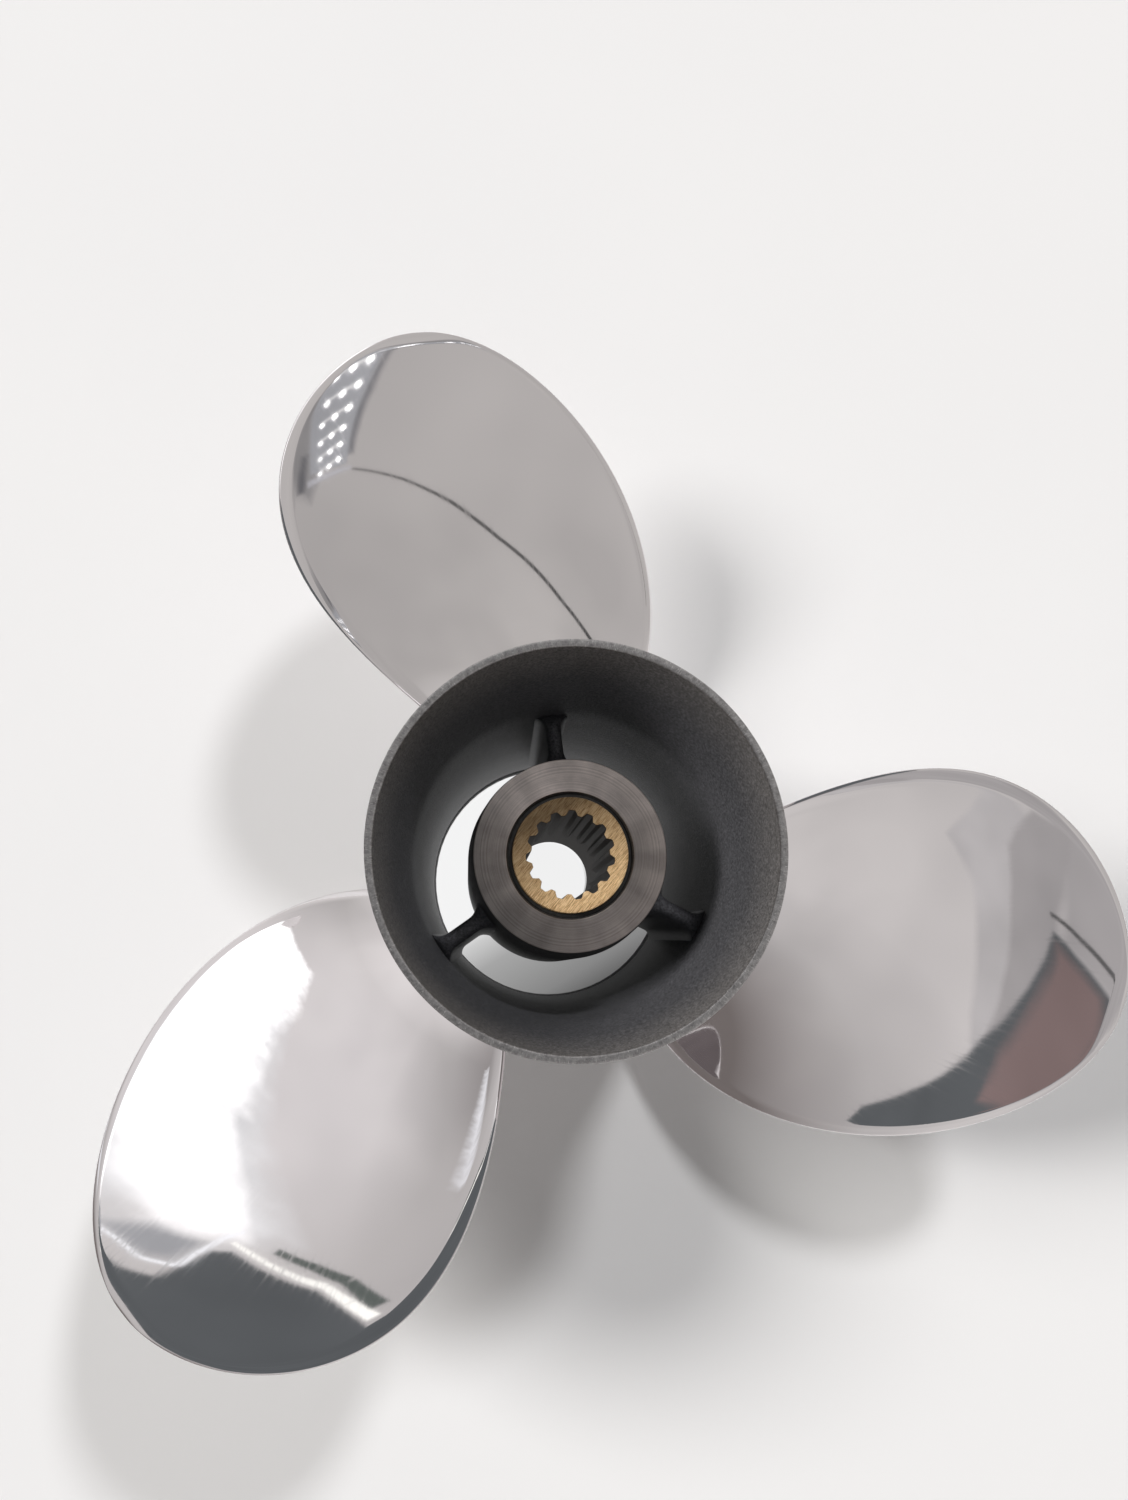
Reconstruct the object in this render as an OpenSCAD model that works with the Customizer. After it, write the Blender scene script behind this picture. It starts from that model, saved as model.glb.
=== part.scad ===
// Three-blade through-hub-exhaust outboard propeller with a rubber cushion hub.
// The propeller stands on the front end of its barrel. +Z points aft, along the shaft axis,
// and the origin is on the axis in the plane of the barrel's front face.
// Right-hand rotation: seen from aft, each blade's trailing edge lies counter-clockwise
// of its leading edge and further aft.

/* [Barrel] */
// Length of the barrel and its flared rear ring together
barrel_len = 126; // [115:1:140]
// Outer diameter of the barrel's straight part
barrel_d = 100; // [96:1:104]
// Outer diameter of the flared rear rim
rim_d = 112; // [106:1:118]
// Width of the rim's flat rear edge
rim_lip = 2.2; // [1.5:0.1:4]
// Height where the flared rear ring begins
flare_z = 92; // [84:1:96]
// Diameter of the exhaust throat at the front
throat_d = 81; // [76:1:84]
// Inner diameter of the barrel at the ribs' rear edges
bell_d = 90; // [86:1:91]
// Diameter of the shallow register recess in the front face
register_d = 91; // [88:1:92]
// Depth of the register recess
register_depth = 4; // [2:0.5:6]

/* [Inner hub] */
// Height of the machined rear face of the inner hub
hub_face_z = 99; // [97:1:104]
// Height of the inner hub's front end
hub_front_z = 8; // [6:1:14]
// Diameter of the machined rear face
hub_face_d = 54.8; // [52:0.2:56]
// Outer diameter of the hub below the face
hub_d = 57.6; // [56:0.2:60]
// Bore of the hub's rear flange
flange_bore_d = 35.4; // [34.8:0.1:37]
// Thickness of the hub's rear flange
flange_t = 9; // [6:1:12]

/* [Ribs] */
// Thickness of each rib
rib_t = 4.6; // [3.5:0.1:6]
// Height of the ribs' rear edges at the barrel
rib_top_z = 80; // [70:1:86]
// Radius of the fillets where a rib meets the hub and the barrel
rib_fillet = 4; // [2:0.5:5]
// Direction of the first rib around the axis, in degrees
rib_azimuth = 101; // [90:1:110]

/* [Cushion hub] */
// Outer diameter of the rubber bush, which is the bore of the inner hub
bush_d = 47; // [44:0.5:48]
// Outer diameter of the brass drive sleeve
sleeve_d = 32.8; // [31:0.1:33.5]
// Height of the sleeve's front end
sleeve_front_z = 6; // [5:0.5:8]
// How far the sleeve stands proud of the hub's rear face
sleeve_proud = 1; // [0.5:0.5:2]
// Radial running clearance between the sleeve and the bush
sleeve_clearance = 0.05; // [0.02:0.01:0.1]
// Diameter of the smooth pilot bore at the front of the sleeve
pilot_d = 26.4; // [26:0.1:27]
// Height where the pilot bore ends and the splines begin
spline_z = 45; // [35:1:55]
// Number of spline teeth
spline_teeth = 15; // [15:1:15]
// Tooth-tip diameter of the splines
spline_minor_d = 22.2; // [22:0.1:22.4]
// Tooth-root diameter of the splines
spline_major_d = 25.2; // [25:0.1:25.8]
// Direction of the first spline groove around the axis, in degrees
spline_azimuth = 22; // [0:1:23]

/* [Blades] */
// Diameter of the circle that the blade tips sweep
tip_d = 346; // [320:2:360]
// Pitch, the advance of the blade's helix in one turn
pitch = 330; // [280:5:380]
// Direction of the first blade's reference line, in degrees
blade_azimuth = 97; // [80:1:110]
// Height of the reference line at the barrel
blade_z = 41; // [36:1:44]
// Aft rake of the reference line, as rise per millimetre of radius
blade_rake = 0.23; // [0.1:0.01:0.3]
// Greatest thickness of a blade at its root
root_t = 9; // [7:0.5:11]
// Greatest thickness of a blade at its tip
tip_t = 3; // [2:0.5:4]
// Thickness of a blade along its edges
edge_t = 1.2; // [0.8:0.1:2]
// Reach of the fillet at the blade root
root_fillet = 6; // [4:0.5:9]

/* [Hidden] */
$fn = 96;

stainless = "silver";
cast_stainless = "dimgray";
machined_steel = "darkgray";
brass = "goldenrod";
rubber = "#222222";

count = 3;
step = 360 / count;
weld = 1;
barrel_r = barrel_d / 2;
rim_r = rim_d / 2;
throat_r = throat_d / 2;
throat_top_z = 12;
bell_r = bell_d / 2;
mouth_r = rim_r - rim_lip;
rim_round = 0.5;
hub_r = hub_d / 2;
hub_shoulder_h = 5;
rib_slope = 8;
bush_front_z = hub_front_z + 6;
bush_rear_z = hub_face_z - flange_t;
bush_lip_depth = 1.5;
bush_bore_r = sleeve_d / 2 + sleeve_clearance;
sleeve_rear_z = hub_face_z + sleeve_proud;
curve_steps = 8;

// Circular pitch geometry of the 30 degree splines
spline_pitch_d = 25.4 * spline_teeth / 16;
groove_w = PI * spline_pitch_d / spline_teeth / 2;
groove_tip_w = groove_w - (spline_major_d - spline_pitch_d) * tan(30);
groove_root_w = groove_w + (spline_pitch_d - spline_minor_d) * tan(30) + 0.6;

// Blade outline: chord and mid-line polynomials over the span fraction u, 0 at the barrel
tip_r = tip_d / 2;
span = tip_r - barrel_r;
tip_angle = 88;
stations = 20;
chord_steps = 18;
fillet_h = 3.5;
function chord(u) = sqrt(1 - pow(u, 5)) * (83 + 173 * u - 150 * u * u);
function mid_angle(u) = 6 + 10 * u + 14.5 * u * u - 16 * u * u * u;
function helix_angle(r) = atan(pitch / (2 * PI * r));
function half_angle(u, r) = chord(u) * cos(helix_angle(r)) / (2 * r) * 180 / PI;

// Thickness of a blade at span fraction u and chord fraction s, 0 at the trailing edge
function blade_t(u, s) =
    edge_t + (root_t + (tip_t - root_t) * pow(u, 0.7) - edge_t) * pow(4 * s * (1 - s), 0.6)
    * min(1, sqrt(1 - u) * 3);
function root_flare(r, s) = r > barrel_r + root_fillet ? 0 :
    fillet_h * pow(1 - (r - barrel_r) / root_fillet, 2) * (0.35 + 0.65 * sqrt(4 * s * (1 - s)));

// A point of a blade: offset is measured aft from the helical pressure face, along the
// direction square to the helix at that radius
function blade_point(r, turn, offset) =
    let (a = turn - offset * sin(helix_angle(r)) / r * 180 / PI)
    [
        r * cos(a), r * sin(a),
        blade_z + pitch * turn / 360 + blade_rake * (r - barrel_r) + offset * cos(helix_angle(r))
    ];
function station_u(i) = i == 0 ? 0 : sin((i - 1) * tip_angle / (stations - 1));
function station_r(i) = i == 0 ? barrel_r - weld : barrel_r + span * station_u(i);
function chord_fraction(j) = (1 - cos(180 * j / chord_steps)) / 2;
function face_point(i, j) =
    let (u = station_u(i), r = station_r(i), s = chord_fraction(j))
    let (turn = mid_angle(u) + half_angle(u, r) * (1 - 2 * s))
    blade_point(r, turn, root_flare(max(r, barrel_r), s));
function back_point(i, j) =
    let (u = station_u(i), r = station_r(i), s = chord_fraction(j))
    let (turn = mid_angle(u) + half_angle(u, r) * (1 - 2 * s))
    blade_point(r, turn, -blade_t(u, s) - root_flare(max(r, barrel_r), s));

// Radius of the flared ring's outer surface, and of the barrel's inner surface
function outer_r(z) = z < flare_z ? barrel_r :
    barrel_r + (rim_r - barrel_r) * pow((z - flare_z) / (barrel_len - flare_z), 1.4);
function inner_r(z) = z < rib_top_z ?
    throat_r + (bell_r - throat_r) * (z - throat_top_z) / (rib_top_z - throat_top_z) :
    bell_r + (mouth_r - bell_r) * pow((z - rib_top_z) / (barrel_len - rib_top_z), 1.15);
function heights(a, b) = [for (i = [0:curve_steps]) a + (b - a) * i / curve_steps];

module barrel() {
    color(cast_stainless)
    rotate_extrude()
    polygon(concat(
        [
            [register_d / 2, 0], [barrel_r, 0], [barrel_r, flare_z],
            [inner_r(flare_z), flare_z], [bell_r, rib_top_z]
        ],
        [
            [throat_r, throat_top_z], [throat_r, register_depth],
            [register_d / 2, register_depth]
        ]
    ));
}

module flare_ring() {
    rise = barrel_len - rim_round;
    color(cast_stainless)
    rotate_extrude()
    polygon(concat(
        [for (z = heights(flare_z, rise)) [outer_r(z), z]],
        [[rim_r - rim_round, barrel_len], [mouth_r + rim_round, barrel_len]],
        [for (z = heights(rise, flare_z)) [inner_r(z), z]]
    ));
}

module inner_hub() {
    color(machined_steel)
    difference() {
        rotate_extrude()
        polygon([
            [bush_d / 2, hub_front_z],
            [hub_r - 1, hub_front_z],
            [hub_r, hub_front_z + 1],
            [hub_r, hub_face_z - 4 * hub_shoulder_h],
            [hub_face_d / 2 + 0.5, hub_face_z - hub_shoulder_h],
            [hub_face_d / 2, hub_face_z - 0.6],
            [hub_face_d / 2 - 0.6, hub_face_z],
            [flange_bore_d / 2 - 1, hub_face_z],
            [flange_bore_d / 2 - 1, bush_rear_z],
            [bush_d / 2, bush_rear_z]
        ]);
        translate([0, 0, bush_rear_z - 1])
        cylinder(d = flange_bore_d, h = flange_t + 2);
        translate([0, 0, hub_face_z - 0.4])
        cylinder(d1 = flange_bore_d, d2 = flange_bore_d + 2, h = 1);
    }
}

// Outline of a rib seen along the axis, with a fillet in each of its four corners
module rib_plan() {
    inner = hub_r - weld;
    outer = barrel_r - weld;
    translate([inner, -rib_t / 2])
    square([outer - inner, rib_t]);
    for (side = [-1, 1])
        scale([1, side])
        for (edge = [[inner, 1, hub_r + 0.2], [outer, -1, (throat_r + bell_r) / 2]])
            difference() {
                translate([min(edge[0], edge[2] + edge[1] * rib_fillet), rib_t / 2 - 0.1])
                square([abs(edge[2] + edge[1] * rib_fillet - edge[0]), rib_fillet + 0.1]);
                translate([edge[2] + edge[1] * rib_fillet, rib_t / 2 + rib_fillet])
                circle(r = rib_fillet);
            }
}

module rib(k) {
    color(cast_stainless)
    rotate([0, 0, rib_azimuth + (k - 1) * step])
    intersection() {
        translate([0, 0, hub_front_z + 2])
        linear_extrude(rib_top_z + 6)
        rib_plan();
        rotate_extrude()
        polygon([
            [hub_r - weld, hub_front_z + 2],
            [throat_r + weld, hub_front_z + 2],
            [throat_r + weld, throat_top_z],
            [inner_r(rib_top_z - rib_slope) + weld, rib_top_z - rib_slope],
            [throat_r, rib_top_z],
            [hub_r - weld, rib_top_z + 4]
        ]);
    }
}

module rib_1() { rib(1); }
module rib_2() { rib(2); }
module rib_3() { rib(3); }

// One blade as a closed skin: the pressure face from trailing to leading edge, then the back
module blade(k) {
    row = 2 * (chord_steps + 1);
    points = concat(
        [
            for (i = [0:stations])
                for (j = [0:row - 1])
                    j <= chord_steps ? face_point(i, j) : back_point(i, row - 1 - j)
        ]
    );
    sides = [
        for (i = [0:stations - 1])
            for (j = [0:row - 1])
                let (a = i * row + j, b = i * row + (j + 1) % row)
                [a, b, b + row, a + row]
    ];
    strips = [
        for (q = sides)
            for (t = [[q[0], q[1], q[2]], [q[0], q[2], q[3]]])
                t
    ];
    root = [
        for (j = [0:chord_steps - 1])
            for (t = [[j, row - 1 - j, j + 1], [j + 1, row - 1 - j, row - 2 - j]])
                t
    ];
    last = stations * row;
    tip = [
        for (j = [0:chord_steps - 1])
            for (t = [
                [last + j, last + j + 1, last + row - 1 - j],
                [last + j + 1, last + row - 2 - j, last + row - 1 - j]
            ])
                t
    ];
    color(stainless)
    rotate([0, 0, blade_azimuth + (k - 1) * step])
    polyhedron(points, concat(strips, root, tip), convexity = 6);
}

module blade_1() { blade(1); }
module blade_2() { blade(2); }
module blade_3() { blade(3); }

// Thick rubber in the hub's bore, with a thin lip that fills the flange's bore
module rubber_bush() {
    color(rubber)
    rotate_extrude()
    polygon([
        [bush_bore_r, bush_front_z],
        [bush_d / 2 - 3, bush_front_z],
        [bush_d / 2, bush_front_z + 3],
        [bush_d / 2, bush_rear_z],
        [flange_bore_d / 2, bush_rear_z],
        [flange_bore_d / 2, hub_face_z - bush_lip_depth],
        [bush_bore_r, hub_face_z - bush_lip_depth]
    ]);
}

module drive_sleeve() {
    length = sleeve_rear_z - sleeve_front_z;
    color(brass)
    difference() {
        translate([0, 0, sleeve_front_z])
        cylinder(d = sleeve_d, h = length);
        translate([0, 0, sleeve_front_z - 1])
        cylinder(d = spline_minor_d, h = length + 2);
        translate([0, 0, sleeve_front_z - 1])
        cylinder(d = pilot_d, h = spline_z - sleeve_front_z + 1);
        for (i = [0:spline_teeth - 1])
            rotate([0, 0, spline_azimuth + i * 360 / spline_teeth])
            translate([0, 0, spline_z - 1])
            linear_extrude(sleeve_rear_z - spline_z + 2)
            polygon([
                [spline_minor_d / 2 - 0.5, -groove_root_w / 2],
                [spline_major_d / 2, -groove_tip_w / 2],
                [spline_major_d / 2, groove_tip_w / 2],
                [spline_minor_d / 2 - 0.5, groove_root_w / 2]
            ]);
    }
}

barrel();
flare_ring();
inner_hub();
rib_1();
rib_2();
rib_3();
blade_1();
blade_2();
blade_3();
rubber_bush();
drive_sleeve();
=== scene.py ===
import math

import bpy
from mathutils import Euler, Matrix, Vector, noise


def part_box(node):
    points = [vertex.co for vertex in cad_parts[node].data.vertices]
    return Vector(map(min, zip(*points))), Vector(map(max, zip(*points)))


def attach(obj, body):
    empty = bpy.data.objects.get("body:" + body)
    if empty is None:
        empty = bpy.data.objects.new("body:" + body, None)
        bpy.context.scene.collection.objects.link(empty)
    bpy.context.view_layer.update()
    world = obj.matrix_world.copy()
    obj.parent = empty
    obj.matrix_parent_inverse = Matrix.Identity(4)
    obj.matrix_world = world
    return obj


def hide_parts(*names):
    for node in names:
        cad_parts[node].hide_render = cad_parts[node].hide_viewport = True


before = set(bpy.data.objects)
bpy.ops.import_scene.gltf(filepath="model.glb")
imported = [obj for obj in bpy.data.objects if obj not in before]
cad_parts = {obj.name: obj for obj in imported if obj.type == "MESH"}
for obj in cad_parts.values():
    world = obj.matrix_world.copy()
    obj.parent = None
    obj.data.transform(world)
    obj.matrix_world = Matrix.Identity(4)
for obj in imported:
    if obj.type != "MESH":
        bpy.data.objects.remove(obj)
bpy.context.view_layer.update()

# Lengths here are in metres. MM turns the design's millimetres into metres.
MM = 0.001

# Sizes taken from the frame
BARREL_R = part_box("barrel")[1].x
FLARE_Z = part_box("barrel")[1].z
RIM_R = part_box("flare_ring")[1].x
BARREL_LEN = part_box("flare_ring")[1].z
HUB_FRONT_Z, HUB_FACE_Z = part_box("inner_hub")[0].z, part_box("inner_hub")[1].z
HUB_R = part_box("inner_hub")[1].x
RIB_FRONT_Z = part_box("rib_1")[0].z
BUSH_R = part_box("rubber_bush")[1].x
BUSH_FRONT_Z, BUSH_LIP_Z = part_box("rubber_bush")[0].z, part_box("rubber_bush")[1].z
SLEEVE_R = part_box("drive_sleeve")[1].x
SLEEVE_FRONT_Z, SLEEVE_REAR_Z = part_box("drive_sleeve")[0].z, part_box("drive_sleeve")[1].z

# Sizes of the design that no box shows
RIM_LIP = 2.2 * MM
THROAT_R = 40.5 * MM
THROAT_TOP_Z = 12 * MM
BELL_R = 45 * MM
REGISTER_R = 45.5 * MM
REGISTER_DEPTH = 4 * MM
HUB_FACE_R = 27.4 * MM
FLANGE_BORE_R = 17.7 * MM
FLANGE_T = 9 * MM
RIB_T = 4.6 * MM
RIB_TOP_Z = 80 * MM
RIB_SLOPE = 3.5 * MM
RIB_FILLET = 5 * MM
RIB_AZIMUTH = 101
BUSH_BORE_R = 16.45 * MM
PILOT_R = 13.2 * MM
SPLINE_Z = 45 * MM
SPLINE_TEETH = 15
# Teeth per inch of pitch diameter, and the slope of their flanks
DIAMETRAL_PITCH = 16
FLANK_ANGLE = 30
INCH = 25.4 * MM
SPLINE_MINOR_R = 11.1 * MM
SPLINE_MAJOR_R = 12.6 * MM
SPLINE_AZIMUTH = 22
TIP_R = 173 * MM
PITCH = 330 * MM
BLADE_AZIMUTH = 97
BLADE_Z = 41 * MM
BLADE_RAKE = 0.23
# Chord in metres and centre line in degrees, as powers of the way from hub to tip
CHORD_TERMS = (83 * MM, 173 * MM, -150 * MM)
CENTRE_TERMS = (6, 10, 14.5, -16)
ROOT_T = 9 * MM
TIP_T = 3 * MM
EDGE_T = 1.2 * MM
ROLL_DROP = 0.6 * MM
ROLL_WIDTH = 4.2 * MM
EDGE_MARGIN = 0.12 * MM
ROOT_FILLET = 6 * MM
ROOT_OVERLAP = 1 * MM
FILLET_H = 3.5 * MM
# Faint waves that grinding by hand leaves in the polish
WAVE_H = 0.03 * MM
WAVE_LENGTH = 26 * MM
WAVES_ROUND = 3.2
WAVE_SEED = 0.4
COUNT = 3
STEP = 360 / COUNT


# ---------- mesh helpers ----------

def new_object(name, points, faces, sharp_deg=35):
    """A smooth-shaded mesh object whose edges sharper than sharp_deg stay crisp."""
    mesh = bpy.data.meshes.new(name)
    mesh.from_pydata(points, [], faces)
    mesh.validate()
    mesh.update()
    for polygon in mesh.polygons:
        polygon.use_smooth = True
    mesh.set_sharp_from_angle(angle=math.radians(sharp_deg))
    obj = bpy.data.objects.new(name, mesh)
    bpy.context.scene.collection.objects.link(obj)
    return obj


def rounded(profile, radius, flush_z=None):
    """A closed (r, z) outline with each corner turned into an arc of about that radius.

    Corners at flush_z stay sharp, so that two pieces meet there without a groove.
    """
    steps, straight, same_z = 4, math.radians(12), 0.01 * MM
    out = []
    count = len(profile)
    for i, corner in enumerate(profile):
        here = Vector(corner)
        if flush_z is not None and abs(corner[1] - flush_z) < same_z:
            out.append(here)
            continue
        before = Vector(profile[i - 1]) - here
        after = Vector(profile[(i + 1) % count]) - here
        turn = before.angle(-after)
        if turn < straight:
            out.append(here)
            continue
        cut = min(radius * math.tan(turn / 2), before.length * 0.45, after.length * 0.45)
        start = here + before.normalized() * cut
        end = here + after.normalized() * cut
        for k in range(steps + 1):
            t = k / steps
            out.append(start * (1 - t) ** 2 + here * 2 * t * (1 - t) + end * t * t)
    return out


def around(r, a, z):
    """The point at radius r, angle a and height z."""
    return r * math.cos(a), r * math.sin(a), z


def skin(rings, count, closed=False):
    """Quads between neighbouring rings of count points, and from the last ring to the first if closed."""
    faces = []
    for i in range(rings if closed else rings - 1):
        here, there = i * count, (i + 1) % rings * count
        for j in range(count):
            n = (j + 1) % count
            faces.append((here + j, here + n, there + n, there + j))
    return faces


def lathe(name, profile, material_of=None):
    """Turns a closed (r, z) outline about the shaft axis. material_of(point) picks a face's slot."""
    segments = 288
    points = [around(r, 2 * math.pi * k / segments, z) for k in range(segments) for r, z in profile]
    faces = [(a, d, c, b) for a, b, c, d in skin(segments, len(profile), closed=True)]
    obj = new_object(name, points, faces)
    if material_of:
        ahead = profile[1:] + profile[:1]
        slots = [material_of((Vector(here) + Vector(there)) / 2) for here, there in zip(profile, ahead)]
        obj.data.polygons.foreach_set("material_index", slots * segments)
    return obj


def finish_piece(obj, body, node, slot, *materials):
    """Materials, the body it moves with and the CAD node it stands for. slot, the record's slot, is not
    used.
    """
    for material in materials:
        obj.data.materials.append(material)
    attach(obj, body)
    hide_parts(node)


# ---------- shapes shared with the design ----------

def outer_r(z):
    """Outside radius of the barrel and its flare."""
    if z < FLARE_Z:
        return BARREL_R
    return BARREL_R + (RIM_R - BARREL_R) * ((z - FLARE_Z) / (BARREL_LEN - FLARE_Z)) ** 1.4


def inner_r(z):
    """Inside radius: the throat, the bell and the flared mouth."""
    if z < THROAT_TOP_Z:
        return THROAT_R
    if z < RIB_TOP_Z:
        return THROAT_R + (BELL_R - THROAT_R) * (z - THROAT_TOP_Z) / (RIB_TOP_Z - THROAT_TOP_Z)
    mouth = RIM_R - RIM_LIP
    return BELL_R + (mouth - BELL_R) * ((z - RIB_TOP_Z) / (BARREL_LEN - RIB_TOP_Z)) ** 1.15


def spread(a, b, count):
    """count + 1 even values from a to b."""
    return [a + (b - a) * i / count for i in range(count + 1)]


# ---------- pieces ----------

def make_barrel(materials):
    """The barrel's wall, polished outside and as cast inside."""
    corner = 0.6 * MM
    wall = [(REGISTER_R, 0), (BARREL_R, 0)]
    wall += [(BARREL_R, z) for z in spread(10 * MM, FLARE_Z, 4)]
    wall += [(inner_r(z), z) for z in spread(FLARE_Z, THROAT_TOP_Z, 16)]
    wall += [(THROAT_R, REGISTER_DEPTH), (REGISTER_R, REGISTER_DEPTH)]
    profile = rounded(wall, corner, flush_z=FLARE_Z)
    limit = BARREL_R - corner / 2
    obj = lathe("barrel_shell", profile, material_of=lambda p: 0 if p[0] > limit else 1)
    finish_piece(obj, "propeller", "barrel", "cast_stainless", *materials)


def make_flare_ring(materials):
    """The flared end of the barrel, whose lip is a dull ground edge."""
    wall = [(outer_r(z), z) for z in spread(FLARE_Z, BARREL_LEN, 20)]
    wall += [(inner_r(z), z) for z in spread(BARREL_LEN, FLARE_Z, 20)]
    profile = rounded(wall, 0.7 * MM, flush_z=FLARE_Z)
    lip = BARREL_LEN - 0.6 * MM

    def slot_of(p):
        if p[1] > lip:
            return 2
        return 0 if p[0] > (outer_r(p[1]) + inner_r(p[1])) / 2 else 1

    obj = lathe("flared_rear_ring", profile, material_of=slot_of)
    finish_piece(obj, "propeller", "flare_ring", "cast_stainless", *materials)


def make_inner_hub(materials):
    """The tube around the rubber, narrowing to its flange with the turned rear face."""
    shoulder, chamfer, chamfer_h = 5 * MM, 0.5 * MM, 0.7 * MM
    rear = HUB_FACE_Z - FLANGE_T
    wall = [
        (BUSH_R, HUB_FRONT_Z), (HUB_R, HUB_FRONT_Z),
        (HUB_R, HUB_FACE_Z - 4 * shoulder), (HUB_FACE_R + chamfer, HUB_FACE_Z - shoulder),
        (HUB_FACE_R, HUB_FACE_Z), (FLANGE_BORE_R + chamfer, HUB_FACE_Z),
        (FLANGE_BORE_R, HUB_FACE_Z - chamfer_h), (FLANGE_BORE_R, rear), (BUSH_R, rear)
    ]
    profile = rounded(wall, 0.35 * MM)
    face_level = HUB_FACE_Z - 0.2 * MM
    obj = lathe("inner_hub_body", profile, material_of=lambda p: 1 if p[1] > face_level else 0)
    finish_piece(obj, "propeller", "inner_hub", "machined_stainless", *materials)


def make_bush(material):
    """The rubber, with a lip that shows as a black ring inside the flange."""
    chamfer = 3 * MM
    rear = HUB_FACE_Z - FLANGE_T
    wall = [
        (BUSH_BORE_R, BUSH_FRONT_Z), (BUSH_R - chamfer, BUSH_FRONT_Z),
        (BUSH_R, BUSH_FRONT_Z + chamfer), (BUSH_R, rear), (FLANGE_BORE_R, rear),
        (FLANGE_BORE_R, BUSH_LIP_Z), (BUSH_BORE_R, BUSH_LIP_Z)
    ]
    obj = lathe("cushion_bush", rounded(wall, 0.25 * MM))
    finish_piece(obj, "propeller", "rubber_bush", "cushion_rubber", material)


def rib_half_width(v):
    """Half the rib's thickness at v, 0 at the hub and 1 at the barrel, with a fillet at each end."""
    reach = RIB_FILLET / (BELL_R - HUB_R)
    near = max(0, 1 - v / reach)
    far = max(0, 1 - (1 - v) / reach)
    flare = sum(1 - math.sqrt(max(0, 1 - x * x)) for x in (min(near, 0.995), min(far, 0.995)))
    return RIB_T / 2 + RIB_FILLET * flare


def rib_loop(v):
    """(across, z) around the rib at v, with its front and rear edges rounded."""
    sides, rounds = 14, 8
    rise, dip, cap = 0.8, -1.2, RIB_T / 2
    half = rib_half_width(v)
    flare = (half - cap) * (rise if v < 0.5 else dip)
    top = RIB_TOP_Z + RIB_SLOPE * (1 - v) + flare - cap
    low = RIB_FRONT_Z + cap
    turns = spread(0, math.pi, rounds)[1:-1]
    loop = [(half, z) for z in spread(low, top, sides)]
    loop += [(half * math.cos(a), top + cap * math.sin(a)) for a in turns]
    loop += [(-half, z) for z in spread(top, low, sides)]
    loop += [(-half * math.cos(a), low - cap * math.sin(a)) for a in turns]
    return loop


def make_rib(number, material):
    """A rib from the inner hub to the barrel, which runs a little into both."""
    spans, overlap, shoulder_z = 40, 0.6 * MM, HUB_FACE_Z - 20 * MM
    a = math.radians(RIB_AZIMUTH + (number - 1) * STEP)
    points = []
    for i in range(spans + 1):
        v = (1 - math.cos(math.pi * i / spans)) / 2
        loop = rib_loop(v)
        for w, z in loop:
            start, end = HUB_R - overlap, inner_r(z) + overlap
            if z > shoulder_z:
                start -= overlap
            r = start + (end - start) * v
            x, y = math.sqrt(max(r * r - w * w, 0)), w
            points.append((x * math.cos(a) - y * math.sin(a), x * math.sin(a) + y * math.cos(a), z))
    row = len(loop)
    faces = skin(spans + 1, row)
    faces.append(tuple(reversed(range(row))))
    faces.append(tuple(spans * row + j for j in range(row)))
    obj = new_object(f"hub_rib_{number}", points, faces, 60)
    finish_piece(obj, "propeller", f"rib_{number}", "cast_stainless", material)


def powers(terms, u):
    """A polynomial in u, with its constant term first."""
    return sum(term * u ** power for power, term in enumerate(terms))


def chord(u):
    """The blade's width at u, 0 at the barrel and 1 at the tip, which it rounds off."""
    return math.sqrt(max(0, 1 - u ** 5)) * powers(CHORD_TERMS, u)


def mid_angle(u):
    """How far the middle of the blade has turned round the shaft at u."""
    return math.radians(powers(CENTRE_TERMS, u))


def edge_round(distance):
    """0 at an edge, rising as a quarter circle to 1 a little way inwards."""
    reach = 0.6 * EDGE_T
    x = min(1, max(0, distance / reach))
    return math.sqrt(1 - (1 - x) ** 2)


def edge_roll(distance):
    """How far the polished face falls away towards the blade's outline."""
    return ROLL_DROP * max(0, 1 - distance / ROLL_WIDTH) ** 1.5


def blade_thickness(u, s):
    """Thickest at the root and in mid-chord. s runs across the blade from 0 to 1."""
    crown = ROOT_T + (TIP_T - ROOT_T) * u ** 0.7 - EDGE_T
    q = 4 * s * (1 - s)
    return EDGE_T + crown * q ** 0.6 * min(1, 3 * math.sqrt(1 - u))


def root_flare(r, s):
    """How far the fillet at the root stands off the blade."""
    if r >= BARREL_R + ROOT_FILLET:
        return 0
    x = 1 - (r - BARREL_R) / ROOT_FILLET
    rim = 0.35 + 0.65 * math.sqrt(max(0, 4 * s * (1 - s)))
    return FILLET_H * (0.5 * x * x + 0.5 * (1 - math.sqrt(max(0, 1 - min(1, x) ** 2)))) * rim


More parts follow.
